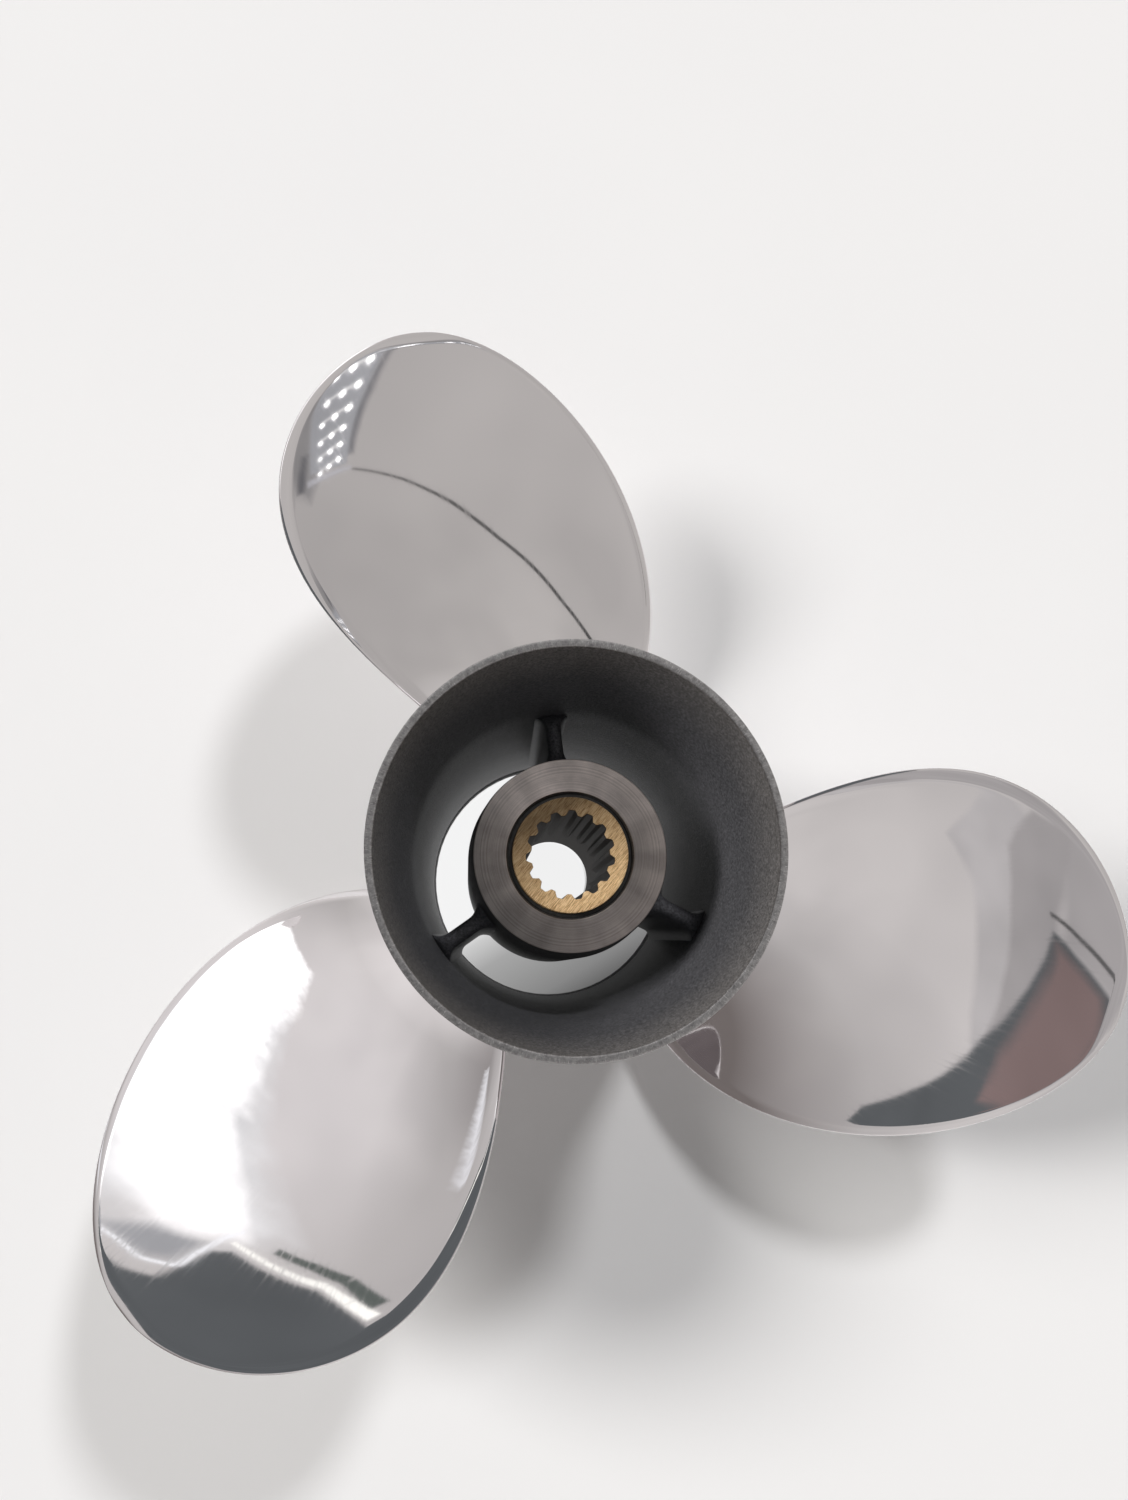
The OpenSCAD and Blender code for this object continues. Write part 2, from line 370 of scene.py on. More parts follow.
def blade_point(u, s, side):
    """A point of a blade at azimuth 0. side is 1 on the pressure face and -1 on the back."""
    r = BARREL_R + (TIP_R - EDGE_MARGIN - BARREL_R) * u
    if u < 0:
        r, u = BARREL_R - ROOT_OVERLAP, 0
    phi = math.atan(PITCH / (2 * math.pi * r))
    width = max(0, chord(u) - 2 * EDGE_MARGIN)
    turn = mid_angle(u) + width * math.cos(phi) / (2 * r) * (1 - 2 * s)
    inward = min(s, 1 - s) * width
    to_tip = TIP_R - r
    distance = inward * to_tip / math.hypot(inward, to_tip) if to_tip > 0 else 0
    thick = blade_thickness(u, s)
    face = -edge_roll(distance)
    middle = (face - thick) / 2
    half = (face + thick) / 2 * edge_round(distance)
    lift = middle + side * (half + root_flare(max(r, BARREL_R), s))
    lift += WAVE_H * noise.noise(Vector((r / WAVE_LENGTH, turn * WAVES_ROUND, WAVE_SEED)))
    a = turn - lift * math.sin(phi) / r
    z = BLADE_Z + PITCH * turn / (2 * math.pi) + BLADE_RAKE * (r - BARREL_R) + lift * math.cos(phi)
    return r, a, z


def make_blade(number, material):
    """A blade as rings round its section, closer together towards its edges and its tip."""
    stations, across, last_angle = 96, 72, math.radians(87.9)
    spans = [-1] + [math.sin(last_angle * i / stations) for i in range(stations + 1)]
    fractions = [(1 - math.cos(math.pi * j / across)) / 2 for j in range(across + 1)]
    loop = [(s, 1) for s in fractions] + [(s, -1) for s in reversed(fractions[1:-1])]
    turn = math.radians(BLADE_AZIMUTH + (number - 1) * STEP)
    points = []
    for u in spans:
        for s, side in loop:
            r, a, z = blade_point(u, s, side)
            points.append(around(r, a + turn, z))
    row = len(loop)
    faces = skin(len(spans), row)
    last = (len(spans) - 1) * row
    for j in range(across):
        for start, flip in ((0, True), (last, False)):
            quad = [start + j, start + j + 1, start + (row - j - 1) % row, start + (row - j) % row]
            quad = list(dict.fromkeys(quad))
            faces.append(tuple(reversed(quad)) if flip else tuple(quad))
    obj = new_object(f"polished_blade_{number}", points, faces, 60)
    finish_piece(obj, "propeller", f"blade_{number}", "polished_stainless", material)


def spline_outline():
    """(angle, radius) around one groove and one tooth, repeated for every tooth."""
    pitch_r = INCH * SPLINE_TEETH / DIAMETRAL_PITCH / 2
    groove = math.pi * pitch_r / SPLINE_TEETH
    lean = math.tan(math.radians(FLANK_ANGLE))
    root_half = (groove - 2 * (SPLINE_MAJOR_R - pitch_r) * lean) / 2 / SPLINE_MAJOR_R
    mouth_half = (groove + 2 * (pitch_r - SPLINE_MINOR_R) * lean) / 2 / SPLINE_MINOR_R
    depth = SPLINE_MAJOR_R - SPLINE_MINOR_R
    flank = ((0, 0.03), (0.15, 0.14), (0.5, 0.5), (0.85, 0.86), (1, 0.97))
    side = [(root_half + (mouth_half - root_half) * t, SPLINE_MAJOR_R - depth * drop) for t, drop in flank]
    pitch_angle = 2 * math.pi / SPLINE_TEETH
    rest = spread(mouth_half * 1.1, pitch_angle - mouth_half * 1.1, 5)
    one = [(a, SPLINE_MAJOR_R) for a in spread(-root_half * 0.8, root_half * 0.8, 4)]
    one += side + [(a, SPLINE_MINOR_R) for a in rest]
    one += [(pitch_angle - a, r) for a, r in reversed(side)]
    start = math.radians(SPLINE_AZIMUTH)
    return [(start + k * pitch_angle + a, r) for k in range(SPLINE_TEETH) for a, r in one]


def make_sleeve(materials):
    """The sleeve as (ring, height, material slot), from the front bore round the outside and back."""
    outline = spline_outline()
    chamfer = 0.5 * MM
    rise = 0.35 * MM
    dish = 0.2 * MM

    def toothed(blend, grow=0.0):
        return [(a, r * blend + PILOT_R * (1 - blend) + grow) for a, r in outline]

    def plain(r):
        return [(a, r) for a, _ in outline]

    rings = [
        (plain(PILOT_R + chamfer), SLEEVE_FRONT_Z, 1),
        (plain(SLEEVE_R - chamfer), SLEEVE_FRONT_Z, 0),
        (plain(SLEEVE_R), SLEEVE_FRONT_Z + chamfer, 0),
        (plain(SLEEVE_R), SLEEVE_REAR_Z - rise, 0),
        (plain(SLEEVE_R - rise * 0.3), SLEEVE_REAR_Z - rise * 0.3, 0),
        (plain(SLEEVE_R - rise), SLEEVE_REAR_Z, 0),
        (plain(SLEEVE_R - 1.5 * MM), SLEEVE_REAR_Z, 0),
        (plain(SPLINE_MAJOR_R + 0.9 * MM), SLEEVE_REAR_Z - dish * 0.75, 0),
        (toothed(1, 0.18 * MM), SLEEVE_REAR_Z - dish, 0),
        (toothed(1, 0.05 * MM), SLEEVE_REAR_Z - dish - 0.06 * MM, 1),
        (toothed(1), SLEEVE_REAR_Z - dish - 0.2 * MM, 1),
        (toothed(1), SLEEVE_REAR_Z - 2 * MM, 1),
        (toothed(1), SPLINE_Z + 1.5 * MM, 1),
        (toothed(0.5), SPLINE_Z + 0.4 * MM, 1),
        (plain(PILOT_R), SPLINE_Z, 1),
        (plain(PILOT_R), SLEEVE_FRONT_Z + chamfer, 1),
    ]
    points = [around(r, a, z) for ring, z, _ in rings for a, r in ring]
    obj = new_object("splined_sleeve", points, skin(len(rings), len(outline), closed=True), 30)
    slots = [slot for _, _, slot in rings for _ in outline]
    obj.data.polygons.foreach_set("material_index", slots)
    finish_piece(obj, "drive", "drive_sleeve", "sleeve_brass", *materials)


# ---------- materials ----------

class Nodes:
    """A short way to build a node tree."""

    def __init__(self, tree):
        self.tree = tree

    def add(self, kind, settings=None, **inputs):
        node = self.tree.nodes.new("ShaderNode" + kind)
        for key, value in (settings or {}).items():
            setattr(node, key, value)
        for key, value in inputs.items():
            self.set(node.inputs[key.replace("_", " ")], value)
        return node

    def set(self, socket, value):
        if isinstance(value, bpy.types.NodeSocket):
            self.tree.links.new(value, socket)
        else:
            socket.default_value = value

    def ramp(self, fac, *stops):
        """A colour ramp. Each stop is a place and a colour, or a place and a grey value."""
        node = self.add("ValToRGB", Fac=fac)
        ramp = node.color_ramp
        while len(ramp.elements) < len(stops):
            ramp.elements.new(0.5)
        for element, (position, colour) in zip(ramp.elements, stops):
            element.position = position
            element.color = (*colour, 1) if isinstance(colour, tuple) else (colour,) * 3 + (1,)
        return node.outputs["Color"]

    def scaled(self, value, low, high):
        """A value from 0 to 1 spread over low to high."""
        return self.add("MapRange", Value=value, To_Min=low, To_Max=high).outputs["Result"]

    def mix(self, fac, a, b, mode="MIX"):
        node = self.add("Mix", {"data_type": "RGBA", "blend_type": mode})
        for index, value in ((0, fac), (6, a), (7, b)):
            self.set(node.inputs[index], value)
        return node.outputs[2]

    def product(self, a, b):
        return self.mix(1.0, a, b, "MULTIPLY")

    def math(self, operation, *values):
        node = self.add("Math", {"operation": operation})
        for socket, value in zip(node.inputs, values):
            self.set(socket, value)
        return node.outputs[0]

    def vector(self, operation, *values):
        node = self.add("VectorMath", {"operation": operation})
        for socket, value in zip(node.inputs, values):
            self.set(socket, value)
        return node


class Surface(Nodes):
    """A material with one Principled shader, whose textures follow the object."""

    def __init__(self, name, **sockets):
        self.material = bpy.data.materials.new(name)
        self.material.use_nodes = True
        super().__init__(self.material.node_tree)
        self.shader = self.tree.nodes["Principled BSDF"]
        for key, value in sockets.items():
            self.shader.inputs[key.replace("_", " ")].default_value = value

    def place(self, scale=(1, 1, 1), rotation=(0, 0, 0)):
        """Object coordinates in metres, turned and then scaled."""
        where = self.add("TexCoord").outputs["Object"]
        if any(rotation):
            where = self.add("Mapping", Vector=where, Rotation=rotation).outputs["Vector"]
        return self.add("Mapping", Vector=where, Scale=scale).outputs["Vector"]

    def noise(self, scale, detail=3.0, rough=0.5, vector=None):
        vector = vector or self.place()
        return self.add("TexNoise", Vector=vector, Scale=scale, Detail=detail,
                        Roughness=rough).outputs["Fac"]

    def radius(self):
        """Distance from the shaft axis, in metres."""
        return self.vector("LENGTH", self.place((1, 1, 0))).outputs["Value"]

    def polar(self, across, along):
        """Coordinates that change by across round the shaft and by along outwards from it."""
        unit = self.vector("NORMALIZE", self.place((1, 1, 0))).outputs["Vector"]
        wide = self.vector("SCALE", unit)
        wide.inputs["Scale"].default_value = across
        out = self.add("CombineXYZ", Z=self.math("MULTIPLY", self.radius(), along))
        return self.vector("ADD", wide.outputs["Vector"], out.outputs["Vector"]).outputs["Vector"]

    def height(self):
        where = self.add("TexCoord").outputs["Object"]
        return self.add("SeparateXYZ", Vector=where).outputs["Z"]

    def bump(self, height, strength, distance, below=None):
        node = self.add("Bump", Height=height, Strength=strength, Distance=distance)
        if below:
            self.set(node.inputs["Normal"], below)
        return node.outputs["Normal"]

    def link(self, socket, value):
        self.set(self.shader.inputs[socket], value)


def polished_steel():
    """Mirror polish with faint hazy streaks round the shaft."""
    m = Surface("polished_stainless", Metallic=1.0)
    tint = m.ramp(m.noise(9, 3), (0.3, (0.795, 0.772, 0.78)), (0.7, (0.85, 0.825, 0.833)))
    streaks = m.noise(1, 4, 0.65, m.polar(150, 30))
    patches = m.noise(14, 3, 0.6)
    m.link("Base Color", tint)
    haze = m.math("MULTIPLY", m.scaled(m.ramp(streaks, (0.48, 0), (0.72, 1)), 0.2, 1.0),
                  m.ramp(patches, (0.40, 0.25), (0.62, 1.0)))
    m.link("Roughness", m.scaled(haze, 0.02, 0.07))
    soft = m.bump(m.noise(19, 1), 0.12, 0.0006)
    m.link("Normal", m.bump(streaks, 0.012, 0.00004, soft))
    return m.material


def cast_steel():
    """Grainy casting, with painted shading that darkens it with depth, as in the photo."""
    m = Surface("cast_stainless", Metallic=0.35)
    grain = m.noise(1300, 5, 0.7)
    blotch = m.noise(45, 4, 0.6)
    uneven = 6 * MM
    level = m.math("ADD", m.height(), m.scaled(blotch, -uneven, uneven))
    depth = m.add("MapRange", Value=level, From_Min=20 * MM, From_Max=BARREL_LEN)
    base = m.ramp(depth.outputs["Result"], (0.0, (0.05, 0.05, 0.054)), (0.5, (0.125, 0.125, 0.135)),
                  (0.8, (0.115, 0.115, 0.122)), (1.0, (0.19, 0.182, 0.178)))
    speck = m.ramp(grain, (0.35, 0.55), (0.5, 1.0), (0.68, 1.7))
    m.link("Base Color", m.product(base, speck))
    m.link("Roughness", m.scaled(grain, 0.34, 0.52))
    m.link("Normal", m.bump(grain, 0.5, 0.0003, m.bump(blotch, 0.3, 0.001)))
    return m.material


def rim_edge():
    """The ground lip, with scratch ticks across it whose bright colour is a painted glint."""
    m = Surface("rim_edge", Metallic=0.9)
    grain = m.noise(900, 6, 0.7)
    ticks = m.noise(1, 4, 0.7, m.polar(260, 700))
    base = m.ramp(grain, (0.3, (0.21, 0.205, 0.205)), (0.65, (0.46, 0.45, 0.45)))
    # Painted glint: the scratch ticks are coloured near white, as glinting scratches look
    bright = m.ramp(ticks, (0.58, 0), (0.66, 0.8))
    m.link("Base Color", m.mix(bright, base, (0.85, 0.84, 0.83, 1)))
    m.link("Roughness", m.scaled(grain, 0.3, 0.55))
    m.link("Normal", m.bump(ticks, 0.5, 0.0002, m.bump(grain, 0.4, 0.0003)))
    return m.material


def turned_face():
    """Fine turning rings, with painted shading: lighter towards +Y, as in the photo."""
    m = Surface("turned_face", Metallic=1.0, Anisotropic=0.85, Anisotropic_Rotation=0.25)
    rings = m.add("CombineXYZ", X=m.radius()).outputs["Vector"]
    fine = m.noise(2300, 4, 0.75, rings)
    stain = m.noise(140, 4, 0.6)
    base = m.ramp(stain, (0.3, (0.34, 0.305, 0.29)), (0.75, (0.50, 0.445, 0.42)))
    marks = m.ramp(fine, (0.35, 0.72), (0.65, 1.3))
    # Painted highlights and shade: sectors round the axis are made lighter and darker, as light catches
    # turned rings
    painted_sectors = m.ramp(m.noise(1, 1, 0.5, m.polar(3.1, 0)), (0.35, 0.90), (0.65, 1.12))
    upward = m.add("SeparateXYZ", Vector=m.polar(0.5, 0)).outputs["Y"]
    shade = m.ramp(m.math("ADD", upward, 0.5), (0.0, 0.84), (0.5, 0.86), (1.0, 1.5))
    m.link("Base Color", m.product(m.product(m.product(base, shade), painted_sectors), marks))
    m.link("Roughness", m.scaled(fine, 0.26, 0.38))
    m.link("Normal", m.bump(fine, 0.25, 0.00015))
    tangent = m.add("Tangent", {"direction_type": "RADIAL", "axis": "Z"})
    m.link("Tangent", tangent.outputs["Tangent"])
    return m.material


def hub_side():
    """The dull side of the inner hub."""
    m = Surface("hub_side", Metallic=0.8)
    grain = m.noise(700, 5, 0.6)
    m.link("Base Color", m.ramp(grain, (0.3, (0.07, 0.07, 0.072)), (0.7, (0.13, 0.13, 0.13))))
    m.link("Roughness", m.scaled(grain, 0.4, 0.6))
    m.link("Normal", m.bump(grain, 0.25, 0.0003))
    return m.material


def brass_face():
    """Scratched brass, with painted shading from a dark upper left to a bright lower right."""
    m = Surface("sleeve_brass", Metallic=0.4)
    scratch_turn, shade_turn, shade_width = math.radians(-57), math.radians(55), 32 * MM
    scratch = m.noise(230, 5, 0.8, m.place((1, 14, 1), (0, 0, scratch_turn)))
    across = m.place((1 / shade_width, 1, 1), (0, 0, shade_turn))
    side = m.math("ADD", m.add("SeparateXYZ", Vector=across).outputs["X"], 0.5)
    stain = m.noise(170, 4, 0.6)
    base = m.ramp(scratch, (0.40, (0.34, 0.20, 0.09)), (0.49, (0.76, 0.52, 0.27)),
                  (0.59, (1.0, 0.76, 0.46)))
    stained = m.mix(m.scaled(stain, 0.0, 0.35), base, (0.35, 0.22, 0.09, 1))
    shade = m.ramp(side, (0.1, (0.22, 0.21, 0.20)), (0.9, (1.25, 1.22, 1.2)))
    m.link("Base Color", m.product(stained, shade))
    m.link("Roughness", m.scaled(scratch, 0.45, 0.3))
    m.link("Normal", m.bump(scratch, 0.9, 0.0004))
    return m.material


def bore_metal():
    """The spline's brass, painted dark as shade in the bore, and streaked along the shaft."""
    m = Surface("sleeve_bore_painted_shade", Metallic=0.9)
    lines = m.noise(420, 4, 0.6, m.place((1, 1, 0.1)))
    # Painted shade: the bore's brass is made far darker than the sleeve's face
    m.link("Base Color", m.ramp(lines, (0.3, (0.12, 0.108, 0.10)), (0.7, (0.24, 0.22, 0.21))))
    m.link("Roughness", m.scaled(lines, 0.3, 0.5))
    m.link("Normal", m.bump(lines, 0.2, 0.0002))
    return m.material


def rubber():
    """Black rubber with a dull grain."""
    m = Surface("cushion_rubber", Metallic=0.0)
    grain = m.noise(900, 4)
    m.link("Base Color", m.ramp(grain, (0.3, 0.012), (0.7, 0.03)))
    m.link("Roughness", m.scaled(grain, 0.5, 0.7))
    m.link("Normal", m.bump(grain, 0.15, 0.0002))
    return m.material


def floor_white():
    m = Surface("floor_white", Roughness=0.6)
    m.link("Base Color", m.ramp(m.noise(3, 2), (0.3, (0.83, 0.825, 0.825)), (0.7, (0.86, 0.855, 0.85))))
    return m.material


# ---------- studio ----------

# Height of the plane on which the reflected cards lie
CARD_Z = 1.2
# The most that a card's soft edge eats into its outline
SOFT_INSIDE = 0.012


def make_camera():
    """The photo's view, from a fit of the rings and the blades' outlines."""
    camera = bpy.data.objects.new("camera", bpy.data.cameras.new("camera"))
    camera.data.sensor_width = 36
    camera.data.lens = 30.3
    camera.data.clip_start = 0.01
    camera.location = (-25.2 * MM, -36.2 * MM, 453.7 * MM)
    camera.rotation_euler = Euler([math.radians(a) for a in (10.11, -4.35, 5.95)])
    bpy.context.scene.collection.objects.link(camera)
    bpy.context.scene.camera = camera


def make_floor():
    size = 6
    points = [(x, y, 0) for x, y in box_corners(-size, -size, size, size)]
    floor = new_object("floor", points, [(0, 1, 2, 3)])
    floor.data.materials.append(floor_white())


def disc(name, radius, z, material):
    steps = 64
    ring = [around(radius, 2 * math.pi * k / steps, z) for k in range(steps)]
    obj = new_object(name, ring, [tuple(range(steps))])
    obj.data.materials.append(material)
    obj.visible_shadow = False


def floor_light(name, spill, stops):
    """A glow that stands in for the overexposed floor, dimmed towards the lower right by painted shade.
    spill is the share that lights the metal.
    """
    m = Surface(name, Base_Color=(0, 0, 0, 1), Specular_IOR_Level=0.0)
    width = 50 * MM
    slope = m.place((0.6 / width, -0.8 / width, 0))
    parts = m.add("SeparateXYZ", Vector=slope)
    # Painted shade: the glow's colour ramp dims it towards the lower right
    m.link("Emission Color", m.ramp(m.math("ADD", parts.outputs["X"], parts.outputs["Y"]), *stops))
    seen = m.add("LightPath").outputs["Is Camera Ray"]
    m.link("Emission Strength", m.scaled(seen, spill, 1.0))
    return m.material


def make_floor_glow():
    """Glowing discs that stand in for the bright floor seen through the exhaust passages and through the
    bore.
    """
    # Painted shade: under the passages the glow falls off towards the lower right, where the barrel shades
    # the floor
    stops = ((0.0, 0.9), (0.12, 0.6), (0.3, 0.38), (0.66, 0.24), (0.85, 0.1))
    disc("floor_glow", THROAT_R - 0.5 * MM, 0.3 * MM, floor_light("floor_glow", 0.7, stops))
    disc("bore_glow", PILOT_R, 0.6 * MM, floor_light("bore_glow", 0.16, ((0.0, 0.87), (1.0, 0.87))))


def smudged(m, where, fade):
    """The fade with blotches where it is neither 0 nor 1, as wiped marks on polished steel show."""
    blotch = m.add("TexNoise", Vector=where, Scale=13, Detail=4).outputs["Fac"]
    middle = m.math("MULTIPLY", fade, m.math("SUBTRACT", 1.0, fade))
    swing = m.math("MULTIPLY", m.math("SUBTRACT", blotch, 0.5), middle)
    total = m.math("ADD", fade, m.math("MULTIPLY", swing, 5.0))
    return m.math("MAXIMUM", m.math("MINIMUM", total, 1.0), 0.0)


def glowing(name, colour, strength):
    """Cloudy light of one colour that dies away where the mesh's fade value drops to 0."""
    swing = 0.25
    material = bpy.data.materials.new(name)
    material.use_nodes = True
    m = Nodes(material.node_tree)
    m.tree.nodes.clear()
    where = m.add("TexCoord").outputs["Object"]
    cloud = m.add("TexNoise", Vector=where, Scale=5).outputs["Fac"]
    level = m.scaled(cloud, strength * (1 - swing), strength * (1 + swing))
    light = m.add("Emission", Color=(*colour, 1), Strength=level).outputs[0]
    fade = m.add("Attribute", {"attribute_name": "fade"}).outputs["Fac"]
    clear = m.add("BsdfTransparent").outputs[0]
    blend = m.add("MixShader")
    for socket, value in zip(blend.inputs, (smudged(m, where, fade), clear, light)):
        m.set(socket, value)
    m.add("OutputMaterial", Surface=blend.outputs[0])
    return material


def grown(corners, distance):
    """The outline moved outwards by that distance."""
    count = len(corners)
    flat = [Vector(c) for c in corners]
    area = sum(flat[i - 1].x * flat[i].y - flat[i].x * flat[i - 1].y for i in range(count))
    turn = 1 if area > 0 else -1
    out = []
    for i, here in enumerate(flat):
        before = (here - flat[i - 1]).normalized()
        after = (flat[(i + 1) % count] - here).normalized()
        normal = (Vector((before.y, -before.x)) + Vector((after.y, -after.x))) * turn
        out.append(here + normal.normalized() * distance)
    return out


def card(name, corners, colour, strength=1.0, z=CARD_Z, lights=False, soft=0.004):
    """A flat card that the camera sees only in reflections, with an edge that fades over about soft.

    With lights set it also takes part in the light on dull surfaces.
    """
    inside, outside = grown(corners, -min(soft, SOFT_INSIDE)), grown(corners, soft)
    count = len(corners)
    points = [(x, y, z) for x, y in inside + outside]
    faces = [tuple(range(count))] + skin(2, count)
    obj = new_object(name, points, faces)
    fade = obj.data.attributes.new("fade", "FLOAT", "POINT")
    fade.data.foreach_set("value", [1.0] * count + [0.0] * count)
    obj.data.materials.append(glowing(name, colour, strength))
    obj.visible_camera = False
    obj.visible_shadow = False
    obj.visible_diffuse = lights


def box_corners(x0, y0, x1, y1):
    return [(x0, y0), (x1, y0), (x1, y1), (x0, y1)]


def strip_corners(start, end, width_start, width_end):
    """The outline of a straight strip that may widen towards its end."""
    along = (Vector(end) - Vector(start)).normalized()
    side = Vector((-along.y, along.x)) / 2
    a, b = Vector(start), Vector(end)
    return [a - side * width_start, b - side * width_end, b + side * width_end, a + side * width_start]


def make_lamp_grid():
    """A small lamp panel with rows of bright diodes, seen near the tip of the upper blade."""
    first = Vector((0.664, 0.642))
    row_step, column_step = Vector((0.0315, 0.0315)), Vector((-0.007, 0.027))
    middle = first + column_step
    end = middle + row_step * 5.4
    card("lamp_panel", strip_corners(middle - row_step * 0.7, end, 0.085, 0.10), (0.41, 0.42, 0.44),
         z=CARD_Z + 0.01, soft=0.006)
    side = -column_step * 2.1
    card("lamp_side", strip_corners(middle + side, end + side, 0.012, 0.03), (0.24, 0.24, 0.25),
         z=CARD_Z + 0.012, soft=0.010)
    corner = strip_corners((0.735, 0.835), (0.80, 0.925), 0.012, 0.02)
    card("lamp_corner", corner, (0.16, 0.16, 0.17), z=CARD_Z + 0.004, soft=0.010)
    bracket = strip_corners((0.80, 0.895), (0.875, 0.80), 0.02, 0.012)
    card("lamp_bracket", bracket, (0.52, 0.52, 0.55), z=CARD_Z + 0.003, soft=0.005)
    half = 0.0046
    for row in range(6):
        start = first + row_step * row
        link = strip_corners(start, start + column_step * 2, 0.008, 0.005)
        card(f"diode_link_{row}", link, (1, 1, 1), 0.85, z=CARD_Z + 0.005, soft=0.002)
        for column in range(3):
            c = start + column_step * column
            corners = box_corners(c.x - half, c.y - half, c.x + half, c.y + half)
            card(f"diode_{row}_{column}", corners, (1, 1, 1), 5 - column, soft=0.0018)


def strip_line(name, points, width, colour, strength=1.0, z=CARD_Z, end_width=None):
    """A thin bent strip of straight pieces that overlap at the bends and widen by even ratios."""
    count = len(points) - 1
    ratio = (end_width or width) / width
    widths = [width * ratio ** (i / count) for i in range(count + 1)]
    for i in range(count):
        corners = strip_corners(points[i], points[i + 1], widths[i], widths[i + 1])
        card(f"{name}_{i}", corners, colour, strength, z + 0.001 * i, soft=widths[i] * 0.2)


def make_ceiling():
    """The dark ceiling straight above, with its brown corner and the shelf along its edge."""
    near = CARD_Z - 0.01
    ceiling = [(-0.85, 0.37), (-0.885, -0.6), (-0.53, -0.80), (-0.13, -0.76), (0.14, -0.70),
               (0.14, 0.53), (-0.54, 0.54), (-0.585, 0.51), (-0.61, 0.49), (-0.64, 0.49),
               (-0.665, 0.53), (-0.70, 0.575), (-0.73, 0.58), (-0.76, 0.54), (-0.80, 0.50),
               (-0.835, 0.465), (-0.845, 0.42)]
    card("ceiling", ceiling, (0.118, 0.128, 0.135), lights=True, soft=0.005)
    brown = [(0.125, -0.685), (0.13, -0.61), (0.08, -0.60), (0.02, -0.61), (-0.11, -0.64),
             (-0.19, -0.69), (-0.10, -0.715), (0.03, -0.70)]
    card("ceiling_brown", brown, (0.25, 0.185, 0.18), z=near, soft=0.012)
    shelf = [(-0.73, 0.60), (-0.77, 0.55), (-0.81, 0.51), (-0.85, 0.47), (-0.862, 0.41), (-0.87, 0.35)]
    strip_line("shelf_edge", shelf, 0.010, (1, 1, 0.95), 1.3, near, end_width=0.03)
    gap = [(-0.79, 0.575), (-0.85, 0.52), (-0.886, 0.465), (-0.89, 0.37)]
    strip_line("shelf_gap", gap, 0.020, (0.13, 0.15, 0.14), 1.0, near - 0.01, end_width=0.04)
    arc = [(-0.735, 0.615), (-0.70, 0.59), (-0.66, 0.54), (-0.64, 0.502), (-0.61, 0.50), (-0.585, 0.525),
           (-0.55, 0.55)]
    strip_line("shelf_arc", arc, 0.009, (0.95, 0.97, 1.0), 1.2, near - 0.03, end_width=0.006)
    shade = [(-0.672, 0.575), (-0.64, 0.52), (-0.61, 0.515), (-0.58, 0.55), (-0.62, 0.585)]
    card("shelf_shade", shade, (0.42, 0.43, 0.45), z=near - 0.02, soft=0.02)


def make_side():
    """The bands of wall to the right of the ceiling and the cable in front of them."""
    far = CARD_Z + 0.01
    wall = [(0.31, -0.66), (0.35, -0.73), (0.30, -0.79), (0.27, -0.81), (0.16, -0.81), (0.09, -0.80),
            (-0.10, -0.765), (-0.20, -0.755), (-0.12, -0.70), (0.17, -0.70)]
    card("side_grey", wall, (0.42, 0.405, 0.405), z=far, soft=0.008)
    light = [(0.42, -0.80), (0.28, -1.02), (0.16, -0.93), (0.01, -0.88), (-0.12, -0.82), (-0.20, -0.75),
             (0.16, -0.78), (0.33, -0.75)]
    card("side_light", light, (0.55, 0.535, 0.535), z=far + 0.005, soft=0.014)
    card("side_far", box_corners(0.141, -0.69, 0.60, 0.0), (0.44, 0.425, 0.425), z=far + 0.01, soft=0.05)
    strip_line("side_line", [(0.166, -0.71), (0.17, -0.3), (0.17, 0.1)], 0.007, (0.1, 0.1, 0.1))
    cable = [(0.88, 0.80), (1.03, 0.73), (1.23, 0.645), (1.56, 0.53), (2.25, 0.225), (3.1, -0.25)]
    strip_line("cable", cable, 0.005, (0.07, 0.07, 0.07), end_width=0.06)
    leading = [(0.61, 0.77), (0.70, 0.86), (0.80, 0.94), (0.86, 0.95), (0.80, 0.87), (0.74, 0.81),
               (0.67, 0.74)]
    card("leading_shade", leading, (0.31, 0.305, 0.305), z=far + 0.02, soft=0.04)


def make_windows():
    """The windows beyond the shelf, their halo, and a bright strip of wall further round."""
    near_window = [(-0.72, 0.65), (-0.715, 0.79), (-0.68, 1.01), (-0.67, 1.18), (-0.43, 1.18),
                   (-0.47, 1.02), (-0.55, 0.88), (-0.60, 0.78), (-0.63, 0.70), (-0.65, 0.65)]
    card("window_near", near_window, (1, 1, 1), 1.9, soft=0.075)
    far_window = [(-0.67, 1.18), (-0.65, 1.65), (-0.76, 2.04), (-0.78, 2.6), (-0.27, 2.5), (-0.27, 1.73),
                  (-0.34, 1.4), (-0.43, 1.18)]
    card("window_far", far_window, (1, 1, 1), 1.8, soft=0.18)
    halo = [(-0.78, 0.70), (-0.80, 2.6), (-0.20, 2.6), (-0.25, 1.5), (-0.48, 0.85), (-0.57, 0.68)]
    card("window_halo", halo, (0.92, 0.93, 0.94), z=CARD_Z + 0.02, soft=0.16)
    card("wall_strip", strip_corners((-1.55, 0.64), (-4.6, 2.05), 0.05, 0.45), (0.90, 0.91, 0.94),
         z=CARD_Z + 0.02, soft=0.10)
    # A dark card lying on the floor, seen only in reflections, darkens the floor that the back of the
    # lower left blade mirrors
    beyond = box_corners(-1.3, -1.3, -0.06, -0.29)
    card("reflected_floor_dark", beyond, (0.17, 0.15, 0.152), z=2 * MM, soft=0.03)


def make_cards():
    make_ceiling()
    make_side()
    make_windows()
    make_lamp_grid()


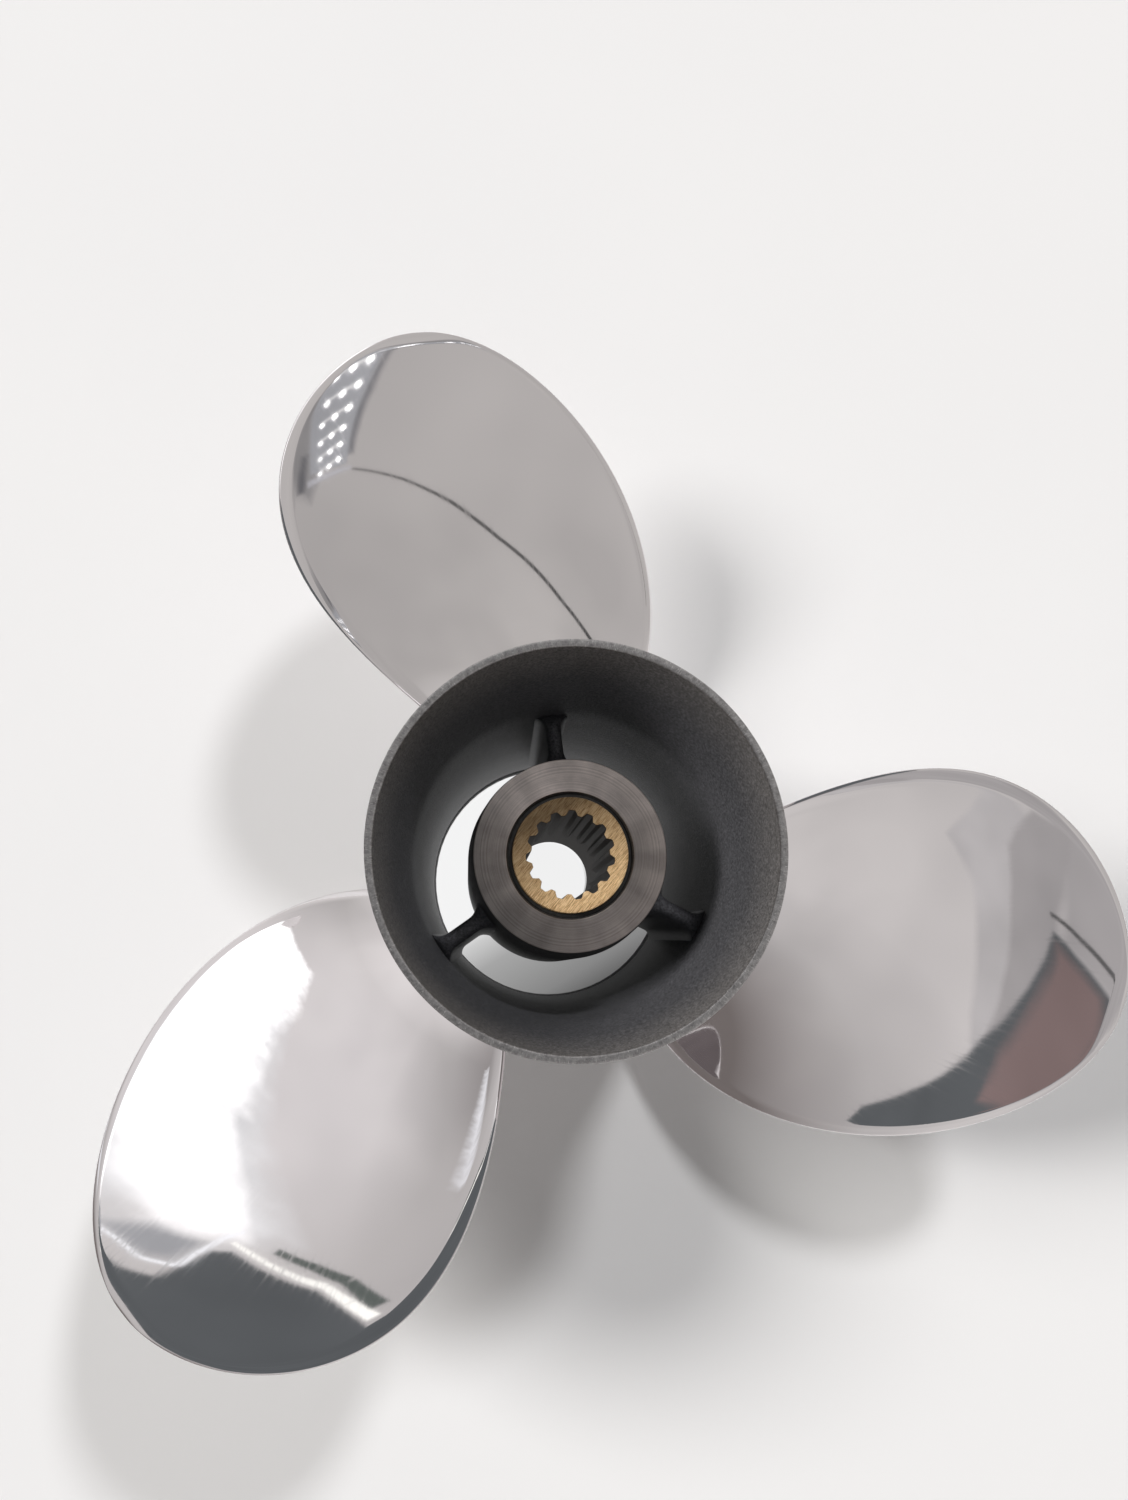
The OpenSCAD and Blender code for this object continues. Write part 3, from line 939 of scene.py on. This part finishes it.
def make_world():
    """A pale cloudy room: brighter low down and at one spot, darker behind the left of the hub."""
    world = bpy.data.worlds.new("studio")
    world.use_nodes = True
    m = Nodes(world.node_tree)
    where = m.add("TexCoord").outputs["Generated"]

    def towards(x, y, z):
        return m.vector("DOT_PRODUCT", where, (x, y, z)).outputs["Value"]

    sides = m.ramp(m.math("MULTIPLY_ADD", towards(0.94, 0.34, 0), 0.5, 0.5),
                   (0.1, (0.72, 0.70, 0.69)), (0.9, (0.52, 0.505, 0.49)))
    low = m.ramp(towards(0, 0, 1), (0.0, (1.35, 1.35, 1.36)), (0.2, 1.0))
    dark = m.ramp(towards(-0.94, -0.34, 0), (0.38, 1), (0.55, 0.8), (0.8, (0.25, 0.23, 0.225)))
    glare = m.ramp(towards(-0.37, 0.79, 0.49), (0.88, 1), (0.985, (1.3, 1.3, 1.32)))
    cloud = m.add("TexNoise", Vector=where, Scale=2.6).outputs["Fac"]
    patches = m.ramp(cloud, (0.35, (0.90, 0.895, 0.90)), (0.65, (1.06, 1.055, 1.055)))
    room = m.product(m.product(sides, low), m.product(dark, glare))
    background = world.node_tree.nodes["Background"]
    m.set(background.inputs["Color"], m.product(room, patches))
    diffuse_ray = m.add("LightPath").outputs["Is Diffuse Ray"]
    m.set(background.inputs["Strength"], m.math("MULTIPLY_ADD", diffuse_ray, -0.5, 1))
    bpy.context.scene.world = world


def sun(name, azimuth, elevation, strength, width, colour):
    """Soft light for the floor and the dull surfaces. The polish shows the cards and the room instead."""
    data = bpy.data.lights.new(name, "SUN")
    data.energy = strength
    data.angle = math.radians(width)
    data.color = colour
    light = bpy.data.objects.new(name, data)
    a, e = math.radians(azimuth), math.radians(elevation)
    back = Vector((math.cos(a) * math.cos(e), math.sin(a) * math.cos(e), math.sin(e)))
    light.rotation_euler = (-back).to_track_quat("-Z", "Y").to_euler()
    light.visible_glossy = False
    bpy.context.scene.collection.objects.link(light)


def make_studio():
    make_camera()
    make_floor()
    make_floor_glow()
    make_world()
    make_cards()
    sun("window_light", azimuth=170, elevation=37, strength=2.7, width=22, colour=(1, 0.985, 0.97))
    sun("lamp_light", azimuth=72, elevation=48, strength=1.25, width=8, colour=(0.98, 0.985, 1))
    bpy.context.scene.view_settings.view_transform = "Standard"


# ---------- the propeller ----------

make_studio()
polished, cast, edge_steel = polished_steel(), cast_steel(), rim_edge()
make_barrel((polished, cast))
make_flare_ring((polished, cast, edge_steel))
make_inner_hub((hub_side(), turned_face()))
for index in range(1, COUNT + 1):
    make_rib(index, cast)
    make_blade(index, polished)
make_bush(rubber())
make_sleeve((brass_face(), bore_metal()))
